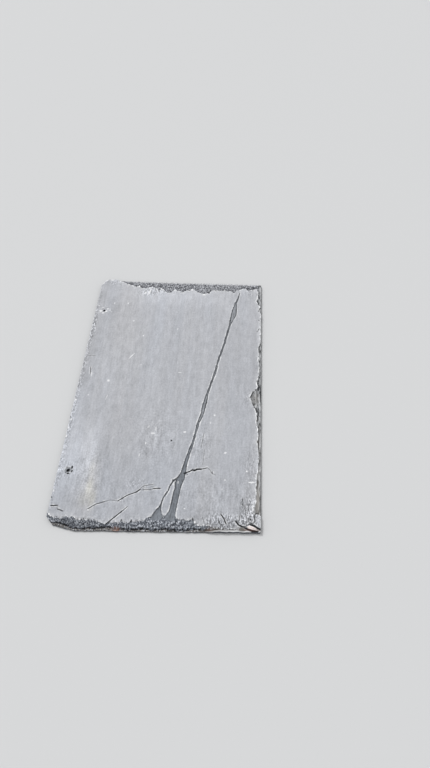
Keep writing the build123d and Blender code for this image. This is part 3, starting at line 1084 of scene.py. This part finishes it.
def ragged_mask_group():
    """1 where a distance in mm, roughened by noise, is above 0."""
    start = {"Distance": 0.0, "Roughness": 0.5, "Softness": 0.3}
    tree, given, out = new_group("ragged_mask", start, ("Mask",))
    wander = (noise(tree, (700, 600, 700), 3, 0.6) - 0.5) * given["Roughness"]
    share = (given["Distance"] + wander * 2) / given["Softness"]
    feed(tree, remap(share, -1.0, 1.0), out["Mask"])
    return tree


def mottle_group():
    """Broken stone's light and dark pieces: even shares from 0 to 1, in cells of one over the fineness."""
    tree, given, out = new_group("mottle", {"Fineness": (400.0, 240.0, 400.0)}, ("Shade",))
    pieces = noise(tree, given["Fineness"], 2, 0.6)
    feed(tree, remap(pieces, 0.34, 0.66), out["Shade"])
    return tree


def fleck_group():
    """1 in a small ragged oval: its place in metres, one over its half length and half width, its turn."""
    start = {"Place": (0.0, 0.0, 0.0), "Fineness": (1000.0, 1000.0, 0.0), "Turn": 0.0, "Wander": 0.5}
    tree, given, out = new_group("fleck", start, ("Mask",))
    offset = vector_maths("SUBTRACT", own_place(tree), given["Place"])
    turning = {"Vector": offset, "Angle": given["Turn"]}
    turned = add(tree, "ShaderNodeVectorRotate", turning, rotation_type="Z_AXIS")
    scaled = vector_maths("MULTIPLY", turned, given["Fineness"])
    length = vector_maths("LENGTH", scaled, output="Value")
    edge = (given["Wander"] - 0.5) * 1.6 + length
    feed(tree, remap(edge, 1.15, 0.6), out["Mask"])
    return tree


GRAIN = riven_grain_group()
STREAKS = bedding_streaks_group()
RAGGED = ragged_mask_group()
MOTTLE = mottle_group()
FLECK = fleck_group()


def marked_spots(tree, spots, wander):
    """The strongest of all the spots at each place."""
    masks = []
    for x, y, half_length, half_width, turn, strength in spots:
        fleck = grouped(
            tree, FLECK,
            Place=(x * MM, y * MM, THICKNESS * MM),
            Fineness=(1 / (half_length * MM), 1 / (half_width * MM), 0.0),
            Turn=radians(-turn),
            Wander=wander,
        )
        masks.append(fleck["Mask"] * strength)
    return most(*masks)


def mottled(tree, fineness):
    """Light and dark pieces as fine as this, from 0 to 1."""
    return grouped(tree, MOTTLE, Fineness=fineness)["Shade"]


def ragged(distance, roughness, softness):
    """The ragged mask of a distance in mm."""
    mask = grouped(distance.tree, RAGGED, Distance=distance, Roughness=roughness, Softness=softness)
    return mask["Mask"]


def raised(height, strength, distance):
    """A normal bent by a height, whose whole range is this distance in metres."""
    inputs = {"Strength": strength, "Distance": distance, "Height": height}
    return add(height.tree, "ShaderNodeBump", inputs)


def new_material(name):
    """An empty material and its tree."""
    material = bpy.data.materials.new(name)
    material.use_nodes = True
    return material, material.node_tree


def set_shader(tree, colour, roughness, specular, normal=None):
    """Sets the shader's own sockets, or links them to what nodes put out."""
    inputs = {"Base Color": colour, "Roughness": roughness, "Specular IOR Level": specular}
    if normal:
        inputs["Normal"] = normal
    for name, value in inputs.items():
        feed(tree, value, tree.nodes["Principled BSDF"].inputs[name])


def pale_face(tree, grain, level, crumbs, patchy):
    """The weathered face: pale streaked stone, bruised beside broken bands, sliver, crater and cracks."""
    streaks = grouped(tree, STREAKS)
    strokes = mottled(tree, STROKES)
    cool = streaks["Warmth"] * 0.3 + mark(tree, "cool")
    face = mixed(cool + 0.2, FACE_WARM, FACE_COOL)
    face = mixed(mark(tree, "cream"), face, CREAM)
    face = lit(face, level, 1)
    face = lit(face, streaks["Shade"], 0.3)
    face = lit(face, grain["Shade"], mark(tree, "streaky") * 1.3 + 1.15)

    beside_band = remap(mark(tree, "broken"), *BAND_FRINGE)
    beside_tail = remap(mark(tree, "tail_in"), *TAIL_FRINGE)
    crumbly = mark(tree, "crumbly")
    face = lit(face, crumbs - beside_tail * 0.25, crumbly * 0.5 + beside_band)
    face = lit(face, strokes, crumbly * 0.7)

    crack_dark = mark(tree, "crack_dark")
    bruised = most(
        beside_band,
        remap(mark(tree, "broken"), *WIDE_FRINGE) * 0.25,
        remap(mark(tree, "sliver"), *SLIVER_FRINGE) * 0.85,
        remap(mark(tree, "tail_crater"), *CRATER_FRINGE) * 0.5,
        remap(abs(mark(tree, "crack_side")), *CRACK_FRINGE) * crack_dark * 0.85,
    )
    bruised = (bruised * patchy).maths("MULTIPLY", 1.1, clamp=True)
    bruised = bruised * (1 - beside_tail * 0.4) * (1 - mark(tree, "tail_pale") * 0.3)
    right_fringe = remap(mark(tree, "right_in"), *RIGHT_FRINGE) * (patchy * 0.9 + 0.2)
    # The face's arris: pale where it is worn, and partly a painted highlight
    worn = remap(mark(tree, "rim"), *FACE_ARRIS_WEAR_AND_HIGHLIGHT) * (crumbs * 0.3 + 0.08)
    face = mixed(most(bruised, right_fringe, worn), face, BRUISED_AND_HIGHLIGHT)
    face = lit(face, strokes, beside_band * 0.6)
    return mixed(mark(tree, "moss") * 0.5, face, MOSS)


def split_stone(tree, grain, level, upright, specks):
    """The stone under the sliver: darker and smooth, and darkest just inside its edge, a painted shadow of
    the step down.
    """
    depth = (specks - 0.5) * 2 + mark(tree, "sliver")
    along = add(tree, "ShaderNodeSeparateXYZ", {0: own_place(tree)}, "Y")
    stone = mixed(remap(along, *SPLIT_TURNS), SPLIT, SPLIT_TAIL)
    inside = most(remap(depth, *SPLIT_INSIDE), remap(along, *SPLIT_FOOT, 0.0, 0.7))
    stone = mixed(inside, SPLIT_EDGE_SHADOW, stone)
    stone = lit(stone, grain["Shade"], 2)
    stone = lit(stone, upright, 0.4)
    return lit(stone, level, 1)


def head_stone(tree, level, crumbs, patchy):
    """The broken band along the head: crumbs, darkest by the face with painted shadow, and a painted
    highlight on the arris.
    """
    # Darker by the face: painted shadow under its broken edge
    shade = crumbs * 1.25 + remap(mark(tree, "head_in"), 0.0, 9.0, -0.72, -0.4)
    shade = shade + patchy * 0.2 - mark(tree, "crumbly") * 0.1
    stone = mixed(shade, HEAD_DARK, HEAD_LIGHT)
    stone = lit(stone, level, 1.5)
    # A painted highlight along the arris
    arris = remap(mark(tree, "rim"), *HEAD_ARRIS_HIGHLIGHT) * (crumbs * 0.3 + 0.35)
    return mixed(arris, stone, BRUISED_AND_HIGHLIGHT)


def side_stone(tree, level, upright):
    """The broken band along the right side: upright marks, dust, painted shadow by the face, a painted
    highlight on the arris and a painted shadow at the foot.
    """
    # Darker by the face: painted shadow under its broken edge
    shade = upright * 0.9 + remap(mark(tree, "right_in"), 0.2, 1.6, -0.36, -0.1)
    stone = mixed(shade, SIDE_DARK, SIDE_LIGHT)
    stone = mixed(mark(tree, "dust") * 0.6, stone, DUST)
    stone = lit(stone, level, 1)
    rim = mark(tree, "rim")
    # A painted highlight along the arris
    stone = mixed(remap(rim, *SIDE_ARRIS_HIGHLIGHT) * upright * 0.6, stone, BRUISED_AND_HIGHLIGHT)
    # A painted shadow of the gap along the foot
    return mixed(remap(rim, *SIDE_FOOT_SHADOW) * 0.6, stone, SIDE_DARK)


def tail_chips(tree, level, crumbs, patchy):
    """The tail's chips: grey above, a black painted shadow just over the lowest layer, and browner on that
    layer.
    """
    step = mark(tree, "tail_step")
    pale = mark(tree, "tail_pale")
    begins, ends = STEP_SHADOW
    # Painted shadow just over the lowest layer
    above_step = remap(step, *begins) * remap(step, *ends)
    shade = crumbs * 0.85 + mark(tree, "facet") * 0.15
    shade = shade - above_step * (patchy + 0.1) + pale * 0.16
    stone = mixed(most(remap(step, *STEP_BARED), pale), CHIP_MIDDLE, STEP_STONE)
    chips = mixed(remap(shade, -0.1, 0.52), CHIP_DARK, stone)
    chips = mixed(remap(shade, 0.66, 0.96), chips, CHIP_LIGHT)
    chips = lit(chips, level, 1.3)
    # A painted highlight along the arris of the paler part
    chips = mixed(remap(mark(tree, "rim"), *TAIL_ARRIS_HIGHLIGHT) * pale, chips, BRUISED_AND_HIGHLIGHT)
    return mixed(mark(tree, "moss") * 0.7, chips, MOSS)


def weathered_face():
    """The face and all that is broken out of it, each with its own stone, then stains and small marks."""
    material, tree = new_material("weathered_face")
    grain = grouped(tree, GRAIN)
    level = mark(tree, "level") * LEVEL_STEP + LEVEL_MIDDLE
    crumbs = mottled(tree, CRUMBS)
    patchy = mottled(tree, PATCHY)
    upright = mottled(tree, UPRIGHT)
    specks = noise(tree, SPECKS, 3, 0.7)

    colour = pale_face(tree, grain, level, crumbs, patchy)
    for name, roughness, softness, stone in (
        ("sliver", 0.6, 0.3, split_stone(tree, grain, level, upright, specks)),
        ("head_in", 1.4, 0.3, head_stone(tree, level, crumbs, patchy)),
        ("right_in", 0.6, 0.3, side_stone(tree, level, upright)),
        ("tail_in", 1.4, 0.4, tail_chips(tree, level, crumbs, patchy)),
    ):
        colour = mixed(ragged(mark(tree, name), roughness, softness), colour, stone)

    rust = mark(tree, "rust")
    colour = mixed(rust * (patchy * 0.7 + 0.3), colour, RUST)
    colour = mixed(remap(mark(tree, "lens"), 0.1, 0.35), colour, LENS)
    colour = mixed(remap(mark(tree, "tail_crater"), *CRATER_EDGE) * 0.8, colour, CRATER_STONE)
    crack = remap(abs(mark(tree, "crack_side")), *CRACK_EDGE) * mark(tree, "crack_dark")
    colour = mixed(crack, colour, mixed(rust, CRACK, RUSTY_CRACK))
    # White flecks and scuffs, and painted highlights along the rims
    colour = mixed(marked_spots(tree, FLECKS_AND_RIM_HIGHLIGHTS, specks), colour, BRUISED_AND_HIGHLIGHT)
    # Dark pits, and painted shade in and round the nail holes
    pits_and_hole_shade = marked_spots(tree, DARK_PITS_AND_HOLE_SHADE, specks)
    colour = mixed(pits_and_hole_shade, colour, CRACK)

    roughness = remap(grain["Shade"], 0.3, 0.7, 0.86, 0.7)
    height = grain["Height"] - most(crack, pits_and_hole_shade) * 1.5
    set_shader(tree, colour, roughness, 0.35, raised(height, 0.6, 0.0003))
    return material


def dressed_wall():
    """The broken edge below the face: fine level layers, darker and lighter, with chips."""
    material, tree = new_material("dressed_edge")
    layers = noise(tree, (60, 60, 1600), 3, 0.6)
    colour = mixed(remap(layers, 0.35, 0.65), CHIP_DARK, CHIP_MIDDLE)
    colour = lit(colour, grouped(tree, GRAIN)["Shade"], 1.2)
    set_shader(tree, colour, 0.85, 0.3, raised(layers, 0.7, 0.0004))
    return material


def bed_face():
    """The bed: darker stone that weather hasn't paled, with stains."""
    material, tree = new_material("bed_face")
    grain = grouped(tree, GRAIN)
    stain = remap(noise(tree, (30, 18, 30), 4, 0.6), 0.45, 0.7)
    colour = mixed(stain, BED, BED_STAIN)
    colour = lit(colour, grouped(tree, STREAKS)["Shade"], 0.5)
    colour = lit(colour, grain["Shade"], 0.9)
    set_shader(tree, colour, 0.8, 0.35, raised(grain["Height"], 0.6, 0.0003))
    return material


def linked(name, data):
    """A new object in the scene."""
    made = bpy.data.objects.new(name, data)
    bpy.context.scene.collection.objects.link(made)
    return made


def add_slate():
    """The slate itself, which stands for its CAD node."""
    mesh = slate_mesh()
    for material in (weathered_face(), dressed_wall(), bed_face()):
        mesh.materials.append(material)
    slate = linked("slate", mesh)
    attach(slate, "root")
    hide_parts("slate_tile")


def add_floor():
    """A plain pale floor just under the bed."""
    half = 4.0
    below = -0.0001
    mesh = bpy.data.meshes.new("floor")
    corners = [(-half, -half, below), (half, -half, below), (half, half, below), (-half, half, below)]
    mesh.from_pydata(corners, [], [(0, 1, 2, 3)])
    material, tree = new_material("floor")
    set_shader(tree, FLOOR, 0.9, 0.5)
    mesh.materials.append(material)
    floor = linked("floor", mesh)


def add_lights():
    """Even light from all round, and one wide soft lamp high behind on the left."""
    world = bpy.data.worlds.new("studio")
    world.use_nodes = True
    background = world.node_tree.nodes["Background"]
    background.inputs["Color"].default_value = (1.0, 1.0, 1.0, 1.0)
    background.inputs["Strength"].default_value = 0.62
    bpy.context.scene.world = world
    lamp = bpy.data.lights.new("lamp", "SUN")
    lamp.energy = 1.5
    lamp.angle = radians(20)
    towards_lamp = Vector((-0.5, 0.55, 1.0))
    linked("lamp", lamp).rotation_euler = towards_lamp.to_track_quat("Z", "Y").to_euler()


# Camera: place in metres, how far it looks down, is turned left and is rolled in degrees, its lens in mm
CAMERA_PLACE = (0.1288, -0.5637, 0.7675)
CAMERA_DOWN = 53.03
CAMERA_LEFT = 5.26
CAMERA_ROLL = -3.02
CAMERA_LENS = 27.05


def add_camera():
    """The camera, looking down on the face from in front of the tail."""
    lens = bpy.data.cameras.new("camera")
    lens.lens = CAMERA_LENS
    lens.sensor_width = 36.0
    lens.clip_start = 0.01
    camera = linked("camera", lens)
    camera.matrix_world = (
        Matrix.Translation(CAMERA_PLACE)
        @ Matrix.Rotation(radians(CAMERA_LEFT), 4, "Z")
        @ Matrix.Rotation(radians(90 - CAMERA_DOWN), 4, "X")
        @ Matrix.Rotation(radians(CAMERA_ROLL), 4, "Z")
    )
    bpy.context.scene.camera = camera


add_slate()
add_floor()
add_lights()
add_camera()
bpy.context.scene.view_settings.view_transform = "Standard"
